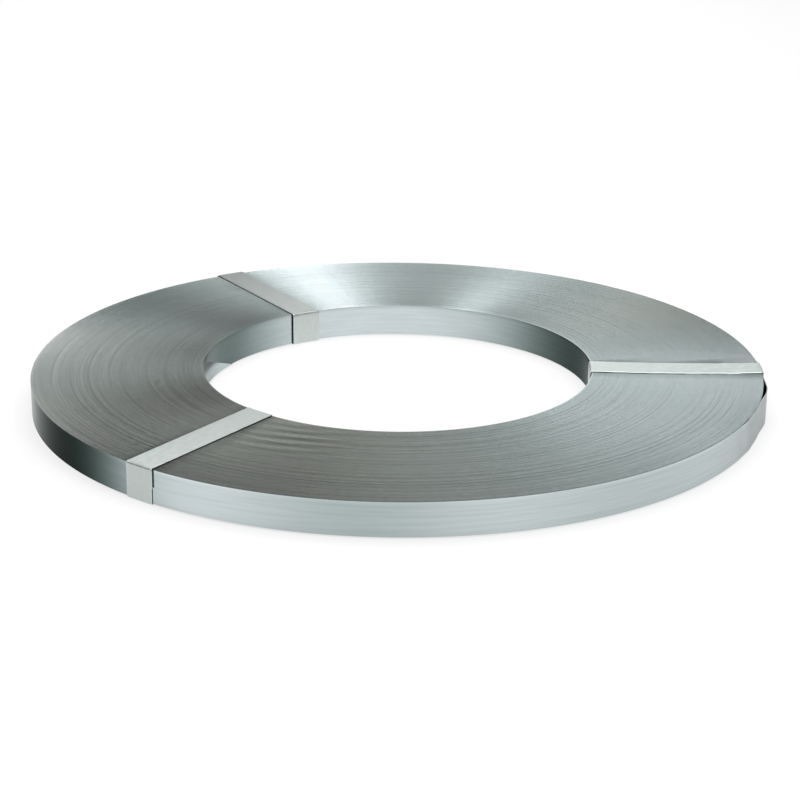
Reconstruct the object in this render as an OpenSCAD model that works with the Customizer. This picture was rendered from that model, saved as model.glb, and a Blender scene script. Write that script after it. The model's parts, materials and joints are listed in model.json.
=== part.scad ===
// A coil of flat steel strapping lying on its side: one strap wound round on
// itself, and three short tie bands that go through the bore and keep it wound.
// Origin: centre of the bore, on the floor. +Z is the coil's axis, and +X
// points at the tie next to the strap's outer end.

/* [Strap] */
// Width of the strap, which is the height of the coil
strap_w = 25; // [19:1:32]
// Thickness of the strap
strap_t = 0.5; // [0.4:0.1:0.8]

/* [Winding] */
// Diameter of the bore, as wound on the mandrel
core_d = 300; // [200:10:410]
// Rings that show on the coil's ends, each a few turns that run level
ring_count = 65; // [40:1:80]
// Turns of strap in each ring
ring_turns = 4; // [2:1:5]
// How far a ring wanders up or down from the middle
wander = 0.2; // [0.1:0.05:0.6]

/* [Strap ends] */
// How far the outer end reaches past the tie that holds it
outer_tail = 10; // [5:1:25]
// How far the loose stretch before that tie stands off the coil
slack = 2.5; // [1:0.5:4]
// Bend radius of the loose stretch
slack_bend = 120; // [100:5:140]
// Direction of the inner end, seen from the axis, in degrees
inner_end_at = 166.5; // [150:0.5:200]
// Length along the wall of the slanting cut at the inner end
inner_cut = 70; // [40:5:90]

/* [Ties] */
// Width of a tie band
tie_w = 24; // [16:1:28]
// Thickness of a tie band
tie_t = 0.5; // [0.4:0.1:0.8]
// Gap between a tie and the coil
tie_clear = 0.15; // [0.1:0.05:0.2]
// Length of the lap, down the outer wall, where a tie's two ends are joined
lap = 14; // [10:1:17]
// Direction of the tie at the right, in degrees
tie_right_at = -1.5; // [-5:0.5:5]
// Direction of the tie at the back
tie_back_at = 121.5; // [110:0.5:130]
// Direction of the tie at the front
tie_front_at = 230.5; // [220:0.5:245]
// How far the right tie is turned from the radius
tie_right_skew = 1.5; // [-5:0.5:5]
// How far the back tie is turned from the radius
tie_back_skew = 1; // [-5:0.5:5]
// How far the front tie is turned from the radius
tie_front_skew = 4.5; // [-5:0.5:6]

/* [Hidden] */
$fn = 96;
eps = 1;

strap_steel = [0.55, 0.60, 0.59];
tie_steel = [0.76, 0.79, 0.78];

// Radii of the winding: the innermost turn, then rings of ring_turns turns, then
// the outermost turn
core_r = core_d / 2;
ring_w = ring_turns * strap_t;
coil_r = core_r + 2 * strap_t + ring_count * ring_w;
inner_turn_r = core_r + strap_t;
outer_turn_r = coil_r - strap_t;

// Heights: the ties lie on the floor, and the coil lies on the ties
coil_z = tie_t + tie_clear + wander;
sleeve_r0 = core_r - tie_clear;
sleeve_r1 = coil_r + tie_clear;
sleeve_z0 = tie_t;
sleeve_z1 = coil_z + strap_w + wander + tie_clear;
corner_r = 3 * tie_clear;
tie_reach = sleeve_r1 - sleeve_r0 + 4 * tie_t + tie_w;

// The loose stretch is an arc that leaves the coil and comes back to it, slack_start
// degrees from the tie. The space behind it ends blunt, at the share slack_touch
slack_start = 0.5;
slack_touch = 0.88;
slack_off = coil_r - slack_bend + slack;
slack_half = acos((slack_off ^ 2 + coil_r ^ 2 - slack_bend ^ 2) / (2 * slack_off * coil_r));
tie_half = asin(tie_w / 2 / coil_r);
slack_at = tie_right_at - tie_half - slack_start - slack_half;
outer_end_at = tie_right_at + asin((tie_w / 2 + outer_tail) / coil_r);
inner_cut_half = asin(inner_cut / 2 / core_r);

// Lift of the k-th ring of the winding, counted from the bore, where the outermost
// turn is the last. No two rings side by side come out level
function lift(k) = wander * (0.6 * sin(162 * k) + 0.4 * sin(126 * k));
// Inner radius of the k-th ring. The first ring holds the innermost turn too
function ring_r(k) = k == 0 ? core_r : inner_turn_r + k * ring_w;
// An edge of the winding at height h of the strap, as steps outwards
function edge_points(h) = [
    for (k = [0 : ring_count - 1], side = [0, 1])
        [ring_r(k + side), coil_z + lift(k) + h]
];
function backwards(list) = [for (i = [len(list) - 1 : -1 : 0]) list[i]];

// Flat wedge between two directions less than 180 degrees apart
module wedge(from, to) {
    far = coil_r + slack_bend;
    polygon([[0, 0], for (a = [from, (from + to) / 2, to]) far * [cos(a), sin(a)]]);
}

// Every turn of the winding but the outermost, as one turned solid
module winding() {
    rotate_extrude()
        polygon(concat(edge_points(0), backwards(edge_points(strap_w))));
}

// The arc that the loose stretch follows, at bend radius r
module slack_arc(r) {
    rotate([0, 0, slack_at])
        translate([slack_off, 0])
            circle(r = r);
}

// The outermost turn, with the space behind its loose stretch. It has ended between
// its outer end and the back tie
module outer_turn() {
    half = slack_touch * slack_half;
    translate([0, 0, coil_z + lift(ring_count)])
        linear_extrude(strap_w)
            difference() {
                union() {
                    circle(r = coil_r);
                    slack_arc(slack_bend);
                }
                circle(r = outer_turn_r - strap_t / 2);
                intersection() {
                    slack_arc(slack_bend - strap_t);
                    wedge(slack_at - half, slack_at + half);
                }
                wedge(outer_end_at, tie_back_at);
            }
}

// Where the innermost turn hasn't begun: under the back tie to its slanting end
module inner_end_cut() {
    half = inner_cut / 2;
    intersection() {
        rotate([0, 0, tie_back_at])
            rotate_extrude(angle = inner_end_at + 2 * inner_cut_half - tie_back_at)
                translate([core_r - eps, 0])
                    square([strap_t + eps, sleeve_z1 + eps]);
        rotate([90, 0, inner_end_at + 90])
            linear_extrude(coil_r)
                polygon([
                    [-core_r, 0],
                    [-half, 0],
                    [-half, coil_z],
                    [half, coil_z + strap_w],
                    [half, sleeve_z1 + eps],
                    [-core_r, sleeve_z1 + eps]
                ]);
    }
}

module strap_coil() {
    color(strap_steel) {
        difference() {
            winding();
            inner_end_cut();
        }
        outer_turn();
    }
}

// Rectangle with round corners in the plane of radius and height
module round_box(r0, r1, z0, z1, corner) {
    translate([r0 + corner, z0])
        square([r1 - r0 - 2 * corner, z1 - z0]);
    translate([r0, z0 + corner])
        square([r1 - r0, z1 - z0 - 2 * corner]);
    for (r = [r0 + corner, r1 - corner], z = [z0 + corner, z1 - corner])
        translate([r, z])
            circle(r = corner);
}

// Section of a tie: a band round the coil, and its outer end lapped over it
module tie_section() {
    difference() {
        union() {
            round_box(sleeve_r0 - tie_t, sleeve_r1 + tie_t, sleeve_z0 - tie_t,
                sleeve_z1 + tie_t, corner_r + tie_t);
            intersection() {
                round_box(sleeve_r0, sleeve_r1 + 2 * tie_t, sleeve_z0 - tie_t,
                    sleeve_z1 + tie_t, corner_r + 2 * tie_t);
                translate([sleeve_r1 - lap, sleeve_z1 + tie_t - lap])
                    square([2 * lap, lap]);
            }
        }
        round_box(sleeve_r0, sleeve_r1, sleeve_z0, sleeve_z1, corner_r);
    }
}

// A straight band across the coil that follows the curve of both walls
module tie(at, skew) {
    color(tie_steel)
        intersection() {
            rotate_extrude()
                tie_section();
            rotate([0, 0, at])
                translate([(sleeve_r0 + sleeve_r1) / 2, 0, sleeve_z1 / 2])
                    rotate([0, 0, skew])
                        cube([tie_reach, tie_w, 2 * sleeve_z1], center = true);
        }
}

module tie_right() {
    tie(tie_right_at, tie_right_skew);
}

module tie_back() {
    tie(tie_back_at, tie_back_skew);
}

module tie_front() {
    tie(tie_front_at, tie_front_skew);
}

strap_coil();
tie_right();
tie_back();
tie_front();
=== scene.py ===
# Steel strapping coil: one galvanised strap wound flat on itself, and the three
# short tie bands that keep it wound. All lengths are in metres.
import json

import bpy
import numpy as np
from mathutils import Matrix, Vector


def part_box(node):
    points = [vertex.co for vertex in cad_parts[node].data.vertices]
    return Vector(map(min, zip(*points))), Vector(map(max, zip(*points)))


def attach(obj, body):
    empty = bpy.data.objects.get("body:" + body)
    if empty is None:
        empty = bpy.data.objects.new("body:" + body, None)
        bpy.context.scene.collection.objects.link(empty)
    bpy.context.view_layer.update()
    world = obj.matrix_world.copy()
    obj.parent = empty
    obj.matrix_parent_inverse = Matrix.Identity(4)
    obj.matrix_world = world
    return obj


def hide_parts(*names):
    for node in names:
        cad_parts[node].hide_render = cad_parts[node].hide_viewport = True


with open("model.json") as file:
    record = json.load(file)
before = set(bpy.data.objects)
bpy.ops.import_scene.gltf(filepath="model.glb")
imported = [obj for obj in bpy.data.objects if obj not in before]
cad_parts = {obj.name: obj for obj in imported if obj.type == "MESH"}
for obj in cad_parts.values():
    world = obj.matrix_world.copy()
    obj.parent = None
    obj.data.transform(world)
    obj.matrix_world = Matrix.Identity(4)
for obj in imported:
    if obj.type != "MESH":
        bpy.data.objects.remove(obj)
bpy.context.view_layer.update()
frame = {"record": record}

# The view and the floor: the coil lies flat and is seen from a low seat, from
# 1.65 m away through a long lens. The floor is pale and has no visible end.
view_elevation = np.radians(19.80)
view_distance = 1.6484
view_roll = np.radians(0.52)
lens_mm = 96.03
aim = Vector((0.0022, -0.0151, 0.0010))

back = Vector((0, -np.cos(view_elevation), np.sin(view_elevation)))
camera = bpy.data.objects.new("camera", bpy.data.cameras.new("camera"))
bpy.context.collection.objects.link(camera)
camera.data.lens = lens_mm
camera.data.sensor_width = 36
camera.data.clip_start = 0.05
camera.data.clip_end = 50
turn = (-back).to_track_quat("-Z", "Y") @ Matrix.Rotation(view_roll, 3, "Z").to_quaternion()
camera.rotation_mode = "QUATERNION"
camera.rotation_quaternion = turn
camera.location = aim + back * view_distance
bpy.context.scene.camera = camera
bpy.context.scene.view_settings.view_transform = "Standard"

floor_size = 14.0
floor_drop = 0.0002
floor_grey = (0.34, 0.34, 0.34, 1)
floor_glow = 0.7
air_strength = 0.28
lamp_distance = 2.3


def node_material(name):
    """A new material with its node tree, its shader and a function that adds linked nodes."""
    material = bpy.data.materials.new(name)
    material.use_nodes = True
    tree = material.node_tree
    shader = tree.nodes["Principled BSDF"]

    def add(kind, inputs=(), **settings):
        node = tree.nodes.new(kind)
        for key, value in settings.items():
            setattr(node, key, value)
        for key, value in dict(inputs).items():
            if isinstance(value, bpy.types.NodeSocket):
                tree.links.new(value, node.inputs[key])
            else:
                node.inputs[key].default_value = value
        return node

    return material, tree, shader, add


floor_corners = np.array([[-1, -1, 0], [1, -1, 0], [1, 1, 0], [-1, 1, 0]]) * floor_size / 2
floor_mesh = bpy.data.meshes.new("floor")
floor_mesh.from_pydata((floor_corners - [0, 0, floor_drop]).tolist(), [], [[0, 1, 2, 3]])
floor = bpy.data.objects.new("floor", floor_mesh)
bpy.context.collection.objects.link(floor)
floor_paint, floor_tree, floor_shader, add = node_material("pale floor")
floor_shader.inputs["Base Color"].default_value = floor_grey
floor_shader.inputs["Roughness"].default_value = 0.9
floor_shader.inputs["Specular IOR Level"].default_value = 0.0
rays = add("ShaderNodeLightPath")
direct = add("ShaderNodeMath", {0: rays.outputs["Is Camera Ray"], 1: rays.outputs["Is Glossy Ray"]},
             operation="MAXIMUM")
seen = add("ShaderNodeMath", {0: direct.outputs[0], 1: rays.outputs["Is Transmission Ray"]},
           operation="MAXIMUM")
glow = add("ShaderNodeEmission", {"Color": (1, 1, 1, 1), "Strength": floor_glow})
lit = add("ShaderNodeAddShader", {0: floor_shader.outputs[0], 1: glow.outputs[0]})
shown = add("ShaderNodeMixShader", {0: seen.outputs[0], 1: floor_shader.outputs[0], 2: lit.outputs[0]})
floor_tree.links.new(shown.outputs[0], floor_tree.nodes["Material Output"].inputs["Surface"])
floor.data.materials.append(floor_paint)

world = bpy.data.worlds.new("studio air")
bpy.context.scene.world = world
world.use_nodes = True
air = world.node_tree.nodes["Background"]
air.inputs["Color"].default_value = (1.0, 1.0, 1.0, 1)
air.inputs["Strength"].default_value = air_strength


def softbox(name, azimuth, elevation, width, power):
    """A square lamp on a dome round the coil, given by its direction and facing the coil's centre."""
    a, e = np.radians(azimuth), np.radians(elevation)
    away = Vector((np.cos(a) * np.cos(e), np.sin(a) * np.cos(e), np.sin(e)))
    lamp = bpy.data.lights.new(name, "AREA")
    lamp.shape = "SQUARE"
    lamp.size = width
    lamp.energy = power
    holder = bpy.data.objects.new(name, lamp)
    holder.location = away * lamp_distance
    holder.rotation_mode = "QUATERNION"
    holder.rotation_quaternion = away.to_track_quat("Z", "Y")
    bpy.context.collection.objects.link(holder)


softbox("overhead", 0, 88, 2.4, 44)
softbox("back", 89, 20, 0.9, 4.0)
softbox("back left", 112, 17, 0.4, 0.5)
softbox("left", 126, 26, 0.6, 2.4)
softbox("back right", 70, 26, 0.4, 0.5)
softbox("front right", 312, 25, 0.6, 2.4)

# The strap: flat steel strip, zinc coated, with slit edges. It is wound from the
# bore outwards in one spiral, each turn on the one below, so its edges make the
# coil's two ends and only its first and last turns show a face.
bore = next(m for m in frame["record"]["mounts"] if m["name"] == "core_bore")
core_r = bore["dims"]["r_mm"] / 1000
strap_w = bore["dims"]["length_mm"] / 1000
strap_z = bore["pos_m"][2] - strap_w / 2
coil_low, coil_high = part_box("strap_coil")
coil_r = -coil_low[0]

inner_end_at = 166.5
outer_end_at = 2.58
whole_turns = 261
part_turn = (outer_end_at - inner_end_at) % 360 / 360
turns = whole_turns + part_turn
pitch = (coil_r - core_r) / (turns + 1)
steel_share = 0.975
strap_t = pitch * steel_share
edge_crown = 0.00005
rows_by_edges = (0.035, 0.965)

# Rings of about four turns that run level: how much their starts vary in turns, and how long the
# ramp between two of them is. The two slow waves are given as waves a turn and start in radians.
turns_a_ring = 4
ring_start_spread = 1.2
ramp_least = 0.05
ramp_most = 0.4
ring_wander = 0.00006
turn_wander = 0.00001
slow_waves = [(0.731, 1), (1.377, 2)]

draw = np.random.default_rng(7)
ring_starts = 1 + turns_a_ring * np.arange(1, int(turns / turns_a_ring))
ring_starts = ring_starts + draw.uniform(-ring_start_spread, ring_start_spread, len(ring_starts))
ring_lifts = draw.uniform(-1, 1, len(ring_starts) + 1)
ring_ramps = draw.uniform(ramp_least, ramp_most, len(ring_starts))


def strap_lift(s):
    """Height of the strap's middle over its mean, at s turns from the inner end: a level for each
    ring of turns with a ramp between two rings, and two slow waves that no two turns share."""
    s = np.asarray(s, float)
    steps = np.diff(ring_lifts)
    lift = np.full(s.shape, ring_lifts[0])
    for start, step, ramp in zip(ring_starts, steps, ring_ramps):
        lift = lift + step * np.clip((s - start) / ramp, 0, 1)
    small = sum(np.sin(2 * np.pi * rate * s + start) for rate, start in slow_waves)
    return strap_z + strap_w / 2 + ring_wander * lift + turn_wander * small


def spiral_radius(s):
    """Radius of the strap's inner face: it grows by one pitch with each turn."""
    return core_r + pitch * s


def strap_section(wall_steps):
    """Outline of the strip across its length: (share of the thickness, share of the width), outer
    face upwards first, with both slit edges crowned."""
    up = np.linspace(0, 1, wall_steps + 1)
    if wall_steps > 1:
        up = np.sort(np.r_[up, rows_by_edges])
    outer = np.stack([np.ones_like(up), up], 1)
    inner = np.stack([np.zeros_like(up), up[::-1]], 1)
    return np.concatenate([outer, [[0.5, 1.0]], inner, [[0.5, 0.0]]])


def skin_object(name, grid, strip):
    """A closed skin at the origin from an (n, m, 3) grid: n sections of m points each, joined to
    their neighbours and capped at both ends. strip holds each point's place along and across the
    strip, which becomes its UV."""
    count, m = grid.shape[:2]
    i = np.arange(count - 1)[:, None] * m
    j = np.arange(m)[None, :]
    k = (j + 1) % m
    quads = np.stack([i + j, i + m + j, i + m + k, i + k], -1).reshape(-1, 4)
    caps = [list(range(m)), list(range((count - 1) * m, count * m))[::-1]]
    mesh = bpy.data.meshes.new(name)
    mesh.from_pydata(grid.reshape(-1, 3).tolist(), [], quads.tolist() + caps)
    mesh.polygons.foreach_set("use_smooth", np.full(len(mesh.polygons), True))
    corner = np.empty(len(mesh.loops), np.int64)
    mesh.loops.foreach_get("vertex_index", corner)
    flat = mesh.uv_layers.new(name="strip")
    flat.data.foreach_set("uv", strip.reshape(-1, 2)[corner].ravel())
    mesh.update()
    mesh.set_sharp_from_angle(angle=np.radians(40))
    piece = bpy.data.objects.new(name, mesh)
    bpy.context.collection.objects.link(piece)
    return piece


def paint(piece, layer, colours):
    """Store one colour for each point of a piece, from an array whose last axis is the colour."""
    values = np.ones((len(piece.data.vertices), 4))
    values[:, :3] = colours.reshape(-1, 3)
    piece.data.attributes.new(layer, "FLOAT_COLOR", "POINT").data.foreach_set("color", values.ravel())


# Sectors of the coil painted lighter or darker than plain metal: painted reflections and painted shade.
# Those of its ends are given as direction and spread in degrees, and factors at the bore and at the
# outside: a soft light sector at the back, a bright fan and a dark sector on either side of the back tie,
# the left and the front left, dark at the bore and pale outside, the dark front, and the pale right side.
painted_edge_light = [
    (68, 9, 2.1, 1.5),
    (108, 13, 3.0, 3.0),
    (142, 13, 0.4, 0.7),
    (168, 18, 0.5, 2.5),
    (208, 18, 0.4, 1.8),
    (250, 16, 0.8, 0.6),
    (318, 22, 1.3, 1.5),
    (355, 18, 1.4, 2.4),
]
# Warm sectors, as direction and spread, and strength at the bore and at the outside
edge_warmths = [(172, 16, 0.4, 0.4), (212, 26, 0.9, 0.7), (256, 28, 0.9, 0.9), (34, 14, 0.2, 0.7)]
# The walls have one factor. The outer wall is painted dark at the left and a little darker at the front, a
# painted reflection. The bore's wall, where directions are counted along the strap from its inner end, is
# painted dark at the right and a little at the left, a painted shade.
painted_outer_wall_reflection = [(212, 13, 0.03), (265, 14, 0.7), (305, 18, 0.8)]
painted_bore_wall_shade = [(212, 30, 0.1), (348, 20, 0.3)]

# Fine lines where single turns look darker or lighter, strongest on the left
turn_marks = np.convolve(draw.normal(0, 1, int(turns) + 4) ** 3, [0.3, 0.6, 0.3], "same")
line_depth = 0.027

# Painted light and shade of soft ripples of rings beside the front tie, where the coil was pressed: bands
# in the edges' colour, while their shape stays flat
ripple_depth = 0.36
ripple_at = 246
ripple_spread = 9
ripple_r = 0.182
ripple_reach = 0.026
ripple_first_r = 0.160
ripple_pitch = 0.0125
ripple_lean = 0.0006

# The first turn of the coil's end is painted lighter, a painted highlight, and the last turn lighter at the
# left and darker at the front, a painted highlight and shade. The outer rim's two stretches are given as
# direction in degrees and gain.
bore_rim_w = 0.0018
bore_rim_blend = 0.0006
bore_rim_highlight = 0.25
outer_rim_w = 0.0022
outer_rim_blend = 0.0012
outer_rim_left = (160, 0.30)
outer_rim_front = (285, -0.25)
outer_rim_spread = 48

# Each tie's direction and turn in degrees, and how dark the coil's end is painted close beside it, a
# painted shade where the tie meets it
tie_w = 0.024
tie_places = [(-1.5, 1.5), (121.5, 1.0), (230.5, 4.5)]
tie_shades = [0.60, 0.25, 0.60]
tie_shade_reach = 0.0028
mid_r = (core_r + coil_r) / 2


def degrees_past(azimuth, at):
    """How far an azimuth lies past another, from -180 to 180 degrees."""
    return (azimuth - at + 180) % 360 - 180


def toned(tones, off_from, share):
    """Product of all the tones: each factor is taken to the power of a bell curve of the distance in
    degrees from its direction, which off_from(at) gives. share is the share of the way outwards."""
    power = 0
    for at, spread, *factors in tones:
        level = np.log(factors[0]) * (1 - share) + np.log(factors[-1]) * share
        power = power + level * np.exp(-(off_from(at) / spread) ** 2)
    return np.exp(power)


def edge_colours(angle, radius, s):
    """Colours of the slit edges: the painted reflections and shade, the fine lines, the painted light and
    shade of the ripples, the painted highlight and shade of the two rims and the painted shade beside each
    tie, each a factor, and last the warm sectors, with less blue and more red."""
    azimuth = np.degrees(angle)
    share = np.clip((radius - core_r) / (coil_r - core_r), 0, 1)
    # Painted reflections and painted shade by sector
    tone = toned(painted_edge_light, lambda at: degrees_past(azimuth, at), share)

    lines = np.interp(s, np.arange(len(turn_marks)), turn_marks)
    tone = tone * (1 + line_depth * np.clip(lines, -3, 2) * (0.6 - 0.4 * np.cos(angle - 0.3)))

    # Painted light and shade of the ripples
    off = degrees_past(azimuth, ripple_at)
    ripple = np.sin(2 * np.pi * (radius - ripple_first_r + ripple_lean * off) / ripple_pitch)
    ripple = ripple * np.exp(-((radius - ripple_r) / ripple_reach) ** 2)
    tone = tone * (1 + ripple_depth * ripple * np.exp(-(off / ripple_spread) ** 2))

    # Painted highlight on the bore's rim, and painted highlight and shade on the outer rim
    bore_rim = np.clip((core_r + bore_rim_w - radius) / bore_rim_blend, 0, 1)
    outer_rim = np.clip((radius - coil_r + outer_rim_w) / outer_rim_blend, 0, 1)
    outer_gain = sum(gain * np.exp(-(degrees_past(azimuth, at) / outer_rim_spread) ** 4)
                     for at, gain in (outer_rim_left, outer_rim_front))
    tone = tone * (1 + bore_rim_highlight * bore_rim) * (1 + outer_rim * outer_gain)

    # Painted shade on the coil's end beside each tie
    for (at, skew), shade in zip(tie_places, tie_shades):
        a, t = np.radians(at), np.radians(at + skew)
        beside = np.abs(radius * np.sin(angle - t) - mid_r * np.sin(a - t)) - tie_w / 2
        near = np.exp(-np.clip(beside, 0, 1) / tie_shade_reach) * (np.cos(angle - t) > 0)
        tone = tone * (1 - shade * near)

    warmth = sum((near * (1 - share) + far * share) * np.exp(-(degrees_past(azimuth, at) / spread) ** 2)
                 for at, spread, near, far in edge_warmths)
    warmth = np.clip(warmth, 0, 1)[..., None]
    # Where the painted reflection is lighter than plain metal, it is also painted paler, with less green
    pale = np.maximum(tone, 1)[..., None] ** np.array([0.06, 0.0, 0.03])
    return tone[..., None] * pale * (1 + warmth * np.array([0.12, 0.0, -0.07]))


def face_colours(tone):
    """Colours of a face from its painted shade and reflection: the darker it is painted, the greener it
    looks.
    """
    return tone[..., None] ** np.array([1.12, 1.0, 1.04])


# How far along the strip the curl of its inner end reaches, and where the painted band at the upper edge of
# a face starts and how soon it is full, as shares of the strap's width: a painted shade on the bore's wall
# and a painted highlight on the outer wall
curl_reach = 0.006
rim_from = 0.95
rim_blend = 0.03


def wind_strap(name, first, last, steps_a_turn, face_tone, wall_steps=1, bulge=None, start_slant=0.0,
               curl=0.0, rim=1.0):
    """A length of the strap as a closed skin: the section is carried along the spiral from first to last
    turn. face_tone(s, height) gives the painted shade and reflection of its face, times rim, a painted band
    at the upper edge, darker below one and lighter above it, bulge(s, height) how far the face stands out,
    start_slant moves the first end along the strip from its lower to its upper edge, in turns, and curl
    lifts that end inwards."""
    section = strap_section(wall_steps)
    crown = edge_crown / strap_w
    height = np.clip(section[:, 1], crown, 1 - crown)
    height = np.where(np.isin(section[:, 0], (0.0, 1.0)), height, section[:, 1])
    count = int(round((last - first) * steps_a_turn)) + 1
    along = np.linspace(0, 1, count)[:, None]
    begin = first + start_slant * (height - 0.5)[None, :]
    s = begin + (last - begin) * along
    angle = np.radians(inner_end_at) + 2 * np.pi * s
    radius = spiral_radius(s) + strap_t * section[:, 0][None, :]
    if bulge is not None:
        radius = radius + bulge(s, height[None, :])
    if curl:
        radius = radius - curl * np.exp(-(s - begin) * 2 * np.pi * core_r / curl_reach)
    z = strap_lift(s) + strap_w * (height - 0.5)[None, :]
    grid = np.stack([radius * np.cos(angle), radius * np.sin(angle), z], -1)
    girth = np.cumsum(np.r_[0, np.hypot(*np.diff(section * [strap_t, strap_w], axis=0).T)]) / strap_w
    strip = np.stack([s, np.broadcast_to(girth, s.shape)], -1)
    piece = skin_object(name, grid, strip)
    paint(piece, "edge tone", edge_colours(angle, radius, s))
    # A painted band along the upper edge of the face: painted shade on the bore's wall, painted highlight
    # on the outer wall
    shine = 1 + (rim - 1) * np.clip((height - rim_from) / rim_blend, 0, 1)[None, :]
    paint(piece, "face tone", face_colours(shine * face_tone(s, height[None, :])))
    return piece


# The loose stretch of the last turn, and the kinks before it, by their directions in degrees
slack = 0.0025
slack_from = -17.5
slack_to = -4.4
kink_from = -33.0
kink_depth = 0.0005
kink_waves = 2.6
kink_slant = 0.35


def outer_bulge(s, height):
    """How far the last turn stands off: a smooth hump beside the right tie, and shallow kinks
    before it that fade along the strap."""
    angle = outer_end_at + 360 * (s - turns)
    hump = np.clip((angle - slack_from) / (slack_to - slack_from), 0, 1)
    kink = np.clip((angle - kink_from) / (slack_from - kink_from), 0, 1)
    wave = 0.5 - 0.5 * np.cos(2 * np.pi * (kink_waves * kink + kink_slant * height))
    return slack * np.sin(np.pi * hump) ** 2 + kink_depth * wave * np.sin(np.pi * kink) ** 2


# Painted shade on the upper half of the strap at its inner end: how dark it is, over how many degrees, and
# the height, as a share of the width, from which it darkens
end_shade = 0.86
end_shade_reach = 22
lit_height = 0.35
lit_blend = 0.2


def inner_face(s, height):
    """Painted shade of the bore's wall, and of what shows of the strap behind its slanting end. At the
    strap's inner end the upper half is painted darker, so that only the lower half looks lit."""
    along = np.minimum(360 * s, 360)
    upper = np.clip((height - lit_height) / lit_blend, 0, 1)
    wall = toned(painted_bore_wall_shade, lambda at: along - at, 0)
    return wall * (1 - end_shade * upper * np.exp(-(along / end_shade_reach) ** 4))


def outer_face(s, height):
    """Painted reflection of the outer wall, the same at every height."""
    azimuth = outer_end_at + 360 * (s - turns)
    return toned(painted_outer_wall_reflection, lambda at: degrees_past(azimuth, at), 0)


# The turns between the first and the last show little but their edges, so they take fewer steps
packs = 4
pack_ends = np.linspace(1, turns - 1, packs + 1)
wound = [
    wind_strap(f"strap_turns_{n + 1}", pack_ends[n], pack_ends[n + 1], 120, inner_face)
    for n in range(packs)
]
inner_cut = 0.070
inner_slant = inner_cut / (2 * np.pi * core_r)
inner_curl = 0.0008
first_turn = wind_strap("strap_inner_turn", 0, 1, 360, inner_face, wall_steps=8,
                        start_slant=inner_slant, curl=inner_curl, rim=0.70)
last_turn = wind_strap("strap_outer_turn", turns - 1, turns, 480, outer_face, wall_steps=8,
                       bulge=outer_bulge, rim=1.18)

wall_zinc = (0.600, 0.66, 0.672, 1)
edge_zinc = (0.288, 0.342, 0.336, 1)
strap_zinc, strap_tree, strap_shader, add = node_material("zinc on strap")
strap_shader.inputs["Metallic"].default_value = 1.0
strap_shader.inputs["Specular Tint"].default_value = (0.55, 0.55, 0.55, 1)
place = add("ShaderNodeTexCoord")
upward = add("ShaderNodeSeparateXYZ", {0: place.outputs["Normal"]})
level = add("ShaderNodeMath", {0: upward.outputs["Z"]}, operation="ABSOLUTE")
is_edge = add("ShaderNodeMath", {0: level.outputs[0], 1: 0.7}, operation="GREATER_THAN")
# The face and edge tones hold painted reflections, highlights and shade, with the edges' fine lines and
# warm sectors
face_tone = add("ShaderNodeAttribute", attribute_name="face tone")
edge_tone = add("ShaderNodeAttribute", attribute_name="edge tone")
base = add("ShaderNodeMix", data_type="RGBA")
base.inputs["A"].default_value = wall_zinc
base.inputs["B"].default_value = edge_zinc
tone = add("ShaderNodeMix", data_type="RGBA")
for mix in (base, tone):
    strap_tree.links.new(is_edge.outputs[0], mix.inputs["Factor"])
strap_tree.links.new(face_tone.outputs["Color"], tone.inputs["A"])
strap_tree.links.new(edge_tone.outputs["Color"], tone.inputs["B"])
along = add("ShaderNodeUVMap", uv_map="strip")
stretched = add("ShaderNodeMapping", {"Vector": along.outputs["UV"], "Scale": (26, 11, 1)})
streaks = add("ShaderNodeTexNoise", {"Vector": stretched.outputs["Vector"], "Scale": 1.0, "Detail": 3.0},
              noise_dimensions="2D")
streak = add("ShaderNodeMapRange", {"Value": streaks.outputs["Fac"], "From Min": 0.3, "From Max": 0.7,
                                    "To Min": 0.95, "To Max": 1.04})
calm = add("ShaderNodeMix", {"Factor": is_edge.outputs[0], "A": streak.outputs["Result"], "B": 1.0})
shaded = add("ShaderNodeMix", {"Factor": 1.0, "A": base.outputs["Result"], "B": tone.outputs["Result"]},
             data_type="RGBA", blend_type="MULTIPLY")
streaked = add("ShaderNodeMix", {"Factor": 1.0, "A": shaded.outputs["Result"], "B": calm.outputs["Result"]},
               data_type="RGBA", blend_type="MULTIPLY")
rough = add("ShaderNodeMapRange", {"Value": streaks.outputs["Fac"], "From Min": 0.3, "From Max": 0.7,
                                   "To Min": 0.17, "To Max": 0.21})
strap_tree.links.new(streaked.outputs["Result"], strap_shader.inputs["Base Color"])
strap_tree.links.new(rough.outputs["Result"], strap_shader.inputs["Roughness"])
for piece in [*wound, first_turn, last_turn]:
    piece.data.materials.append(strap_zinc)
    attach(piece, "root")
    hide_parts("strap_coil")

# The ties: three short lengths of wide zinc-coated strip, put through the bore and
# bent tight round the coil's section. Their ends lap on the outer wall, where the
# last one lies over the first. Handling has left soft waves and a few creases.
tie_t = 0.00048
tie_gap = 0.00015
tie_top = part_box("tie_right")[1][2]
lap = 0.014
lap_gap = 0.00002
lap_shift = 0.0010
first_end_drop = 0.0012
corner_radius = 0.0011
lap_corner = 0.0006
leg_step = 0.0016
arc_steps = 8


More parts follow.
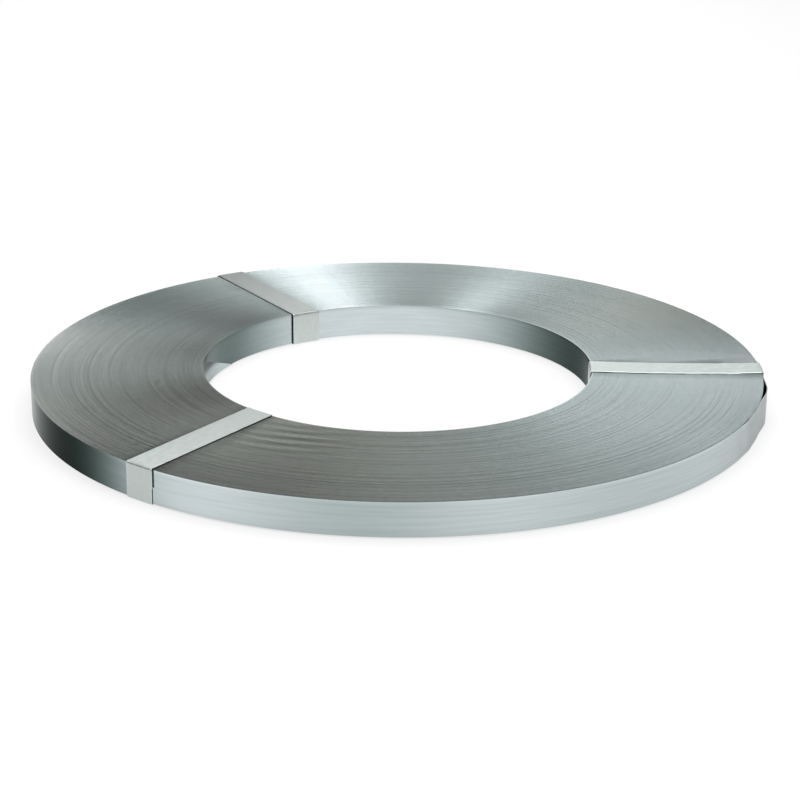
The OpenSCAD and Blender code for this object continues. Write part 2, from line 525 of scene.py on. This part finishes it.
def rounded_route(corners, radii):
    """Route of a strip's middle line in the plane of radius and height: straight legs joined by
    quarter rounds. Gives the points, the directions and the length walked at each point."""
    corners = np.array(corners)
    legs = np.diff(corners, axis=0)
    ways = legs / np.linalg.norm(legs, axis=1)[:, None]
    cuts = [0, *radii, 0]
    points, directions = [], []
    for k, way in enumerate(ways):
        after = ways[k + 1] if k + 1 < len(ways) else None
        cut_out = cuts[k + 1]
        a = corners[k] + way * cuts[k]
        b = corners[k + 1] - way * cut_out
        share = np.linspace(0, 1, int(np.linalg.norm(b - a) / leg_step) + 3)[:, None]
        points.append(a + (b - a) * share)
        directions.append(np.broadcast_to(way, points[-1].shape))
        if after is not None:
            t = np.linspace(0, np.pi / 2, arc_steps + 1)[1:-1, None]
            points.append(b + after * cut_out * (1 - np.cos(t)) + way * cut_out * np.sin(t))
            directions.append(way * np.cos(t) + after * np.sin(t))
    points = np.concatenate(points)
    walked = np.r_[0, np.cumsum(np.linalg.norm(np.diff(points, axis=0), axis=1))]
    return points, np.concatenate(directions), walked


rows_across = [0.3, 0.6, 0.8, 0.9, 0.95, 0.985, 1]
slit_round = 0.00025
slit_half = 0.27


def tie_skin():
    """Outline of a tie across its length: (share of the half width, share of the thickness), outer
    face first, with the two slit edges rounded between the faces."""
    across = np.array([-row for row in rows_across[::-1]] + [0] + rows_across)
    half = np.stack([across * (1 - slit_round / tie_w), np.full(len(across), 0.5)], 1)
    half[[0, -1], 1] = slit_half
    edge = np.array([[1.0, 0.0]])
    return np.concatenate([half, edge, -half, -edge])


# The soft waves of a tie, its creases and the curl of its slit edges, which also carry a painted highlight
# that makes them a little lighter. Waves and curl are shallower on the legs than across the top.
wave_lengths = (0.012, 0.034)
wave_slant = 0.9
crease_round = 0.0004
crease_reach = 0.0028
edge_curl = 0.00016
edge_curl_from = 0.86
depth_on_legs = 0.25
tie_rim_from = 0.90
tie_rim_blend = 0.08
tie_rim_highlight = 0.12


def bend_tie(name, place, bow, bore_off, waves, creases, tones, seed):
    """A tie as a closed skin. The strip's middle line is carried round the coil's section in the plane
    of radius and height. A point a distance y beside the middle line lies at the same radius, so
    the strip hugs both round walls: along = sqrt(radius^2 - side^2) less the middle's own share.
    bow bends the strip sideways, bore_off stands its bore side off the wall, waves is the depth of the soft
    waves, creases are (radius, slant in degrees, depth) folds across its top, and tones are the painted
    light and shade of the tie: how light its top is painted at the bore and at the outside, its bore leg
    and its outer legs."""
    at, skew = place
    own = np.random.default_rng(seed)
    out_1 = coil_r + tie_gap + tie_t / 2
    out_2 = out_1 + tie_t + lap_gap
    top = tie_top - tie_t / 2
    low = tie_t / 2
    bore_r = core_r - tie_gap - bore_off - tie_t / 2
    corners = [
        (out_1, top - first_end_drop),
        (out_1, low),
        (bore_r, low),
        (bore_r, top),
        (out_2, top),
        (out_2, top - lap),
    ]
    radii = [lap_corner, corner_radius, corner_radius + bore_off, lap_corner + tie_t]
    route, way, walked = rounded_route(corners, radii)
    skin = tie_skin()
    side = skin[:, 0][None, :] * tie_w / 2
    rho, z = route[:, :1], route[:, 1:]
    on_top = np.clip(way[:, :1], 0, 1)
    u = walked[:, None]
    share = np.clip((rho - core_r) / (coil_r - core_r), 0, 1)

    phase = own.uniform(0, 2 * np.pi, 5)
    length = own.uniform(*wave_lengths, 5)
    slant = own.uniform(-wave_slant, wave_slant, 5)
    depth = own.uniform(0.5, 1, 5)
    dent = sum(d * (np.sin(2 * np.pi * (u / l + s * side / 0.02) + p) - 1)
               for d, l, s, p in zip(depth, length, slant, phase)) / (2 * depth.sum())
    sink = waves * dent
    for radius, lean, deep in creases:
        line = (rho - radius) * np.cos(np.radians(lean)) + side * np.sin(np.radians(lean))
        sink = sink - deep * on_top * np.exp(-np.hypot(line, crease_round) / crease_reach)
    out_to_edge = np.abs(skin[:, 0])[None, :]
    curl = edge_curl * np.clip((out_to_edge - edge_curl_from) / (1 - edge_curl_from), 0, 1) ** 2
    depth_here = depth_on_legs + (1 - depth_on_legs) * on_top
    off = skin[:, 1][None, :] * tie_t + (sink - curl) * depth_here

    off_rho = rho - way[:, 1:] * off
    off_z = z + way[:, :1] * off
    sideways = side + bow * (4 * share * (1 - share) - 0.5) * np.sin(np.pi * on_top / 2)
    sideways = sideways + lap_shift * np.clip(-way[:, 1:], 0, 1) * (u > walked[-1] / 2)
    a, t = np.radians(at), np.radians(at + skew)
    m = mid_r * np.array([np.cos(a), np.sin(a)])
    d = np.array([np.cos(t), np.sin(t)])
    n = np.array([-np.sin(t), np.cos(t)])
    c = m @ n + sideways
    xi = np.sqrt(off_rho ** 2 - c ** 2) - m @ d
    x = m[0] + xi * d[0] + sideways * n[0]
    y = m[1] + xi * d[1] + sideways * n[1]
    grid = np.stack([x, y, np.maximum(off_z, 0)], -1)
    strip = np.stack(np.broadcast_arrays(u / tie_w, skin[:, 0][None, :]), -1)
    piece = skin_object(name, grid, strip)
    # Painted light and shade by side of the tie, and a painted highlight along its slit edges
    top_in, top_out, bore_leg, outer_leg = tones
    leg = np.where(rho < mid_r, bore_leg, outer_leg)
    shown = leg + (top_in + (top_out - top_in) * share - leg) * on_top
    rim = np.clip((out_to_edge - tie_rim_from) / tie_rim_blend, 0, 1)
    paint(piece, "tie tone", np.repeat(shown * (1 + tie_rim_highlight * rim), 3))
    return piece


right_creases = [(0.256, 25, 0.0002), (0.262, -30, 0.00018)]
# Painted light and shade of each tie: its top at the bore and at the outside, its bore leg and its outer
# legs
right_painted_light = (0.9, 1.1, 0.85, 0.85)
back_painted_light = (0.6, 0.4, 0.9, 0.85)
front_painted_light = (0.7, 1.0, 0.85, 0.8)
ties = [
    bend_tie("right_band", tie_places[0], -0.0030, 0.0007, 0.00022, right_creases, right_painted_light, 3),
    bend_tie("back_band", tie_places[1], 0.0, 0.0009, 0.00012, [], back_painted_light, 5),
    bend_tie("front_band", tie_places[2], 0.0, 0.0002, 0.00008, [], front_painted_light, 11),
]

pale_zinc = (0.735, 0.80, 0.78, 1)
tie_zinc, tie_tree, tie_shader, add = node_material("zinc on ties")
tie_shader.inputs["Metallic"].default_value = 1.0
# The tie tone holds the painted light and shade of each side of a tie and its painted edge highlight
tie_tone = add("ShaderNodeAttribute", attribute_name="tie tone")
flat = add("ShaderNodeUVMap", uv_map="strip")
blotches = add("ShaderNodeTexNoise", {"Vector": flat.outputs["UV"], "Scale": 3.4, "Detail": 5.0},
               noise_dimensions="2D")
drawn = add("ShaderNodeMapping", {"Vector": flat.outputs["UV"], "Scale": (0.9, 13, 1)})
scratches = add("ShaderNodeTexNoise", {"Vector": drawn.outputs["Vector"], "Scale": 1.0, "Detail": 2.0},
                noise_dimensions="2D")
# A random mottle of wear and scratches in the zinc, lighter and darker patches it has under any lamp
wear = add("ShaderNodeMath", {0: scratches.outputs["Fac"], 1: 0.4, 2: blotches.outputs["Fac"]},
           operation="MULTIPLY_ADD")
shade = add("ShaderNodeMapRange", {"Value": wear.outputs[0], "From Min": 0.45, "From Max": 0.95,
                                   "To Min": 0.90, "To Max": 1.07})
pale = add("ShaderNodeMix", {"Factor": 1.0, "A": pale_zinc, "B": tie_tone.outputs["Color"]},
           data_type="RGBA", blend_type="MULTIPLY")
worn = add("ShaderNodeMix", {"Factor": 1.0, "A": pale.outputs["Result"], "B": shade.outputs["Result"]},
           data_type="RGBA", blend_type="MULTIPLY")
dull = add("ShaderNodeMapRange", {"Value": blotches.outputs["Fac"], "From Min": 0.3, "From Max": 0.7,
                                  "To Min": 0.38, "To Max": 0.52})
tie_tree.links.new(worn.outputs["Result"], tie_shader.inputs["Base Color"])
tie_tree.links.new(dull.outputs["Result"], tie_shader.inputs["Roughness"])
for band, node in zip(ties, ("tie_right", "tie_back", "tie_front")):
    band.data.materials.append(tie_zinc)
    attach(band, "root")
    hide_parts(node)
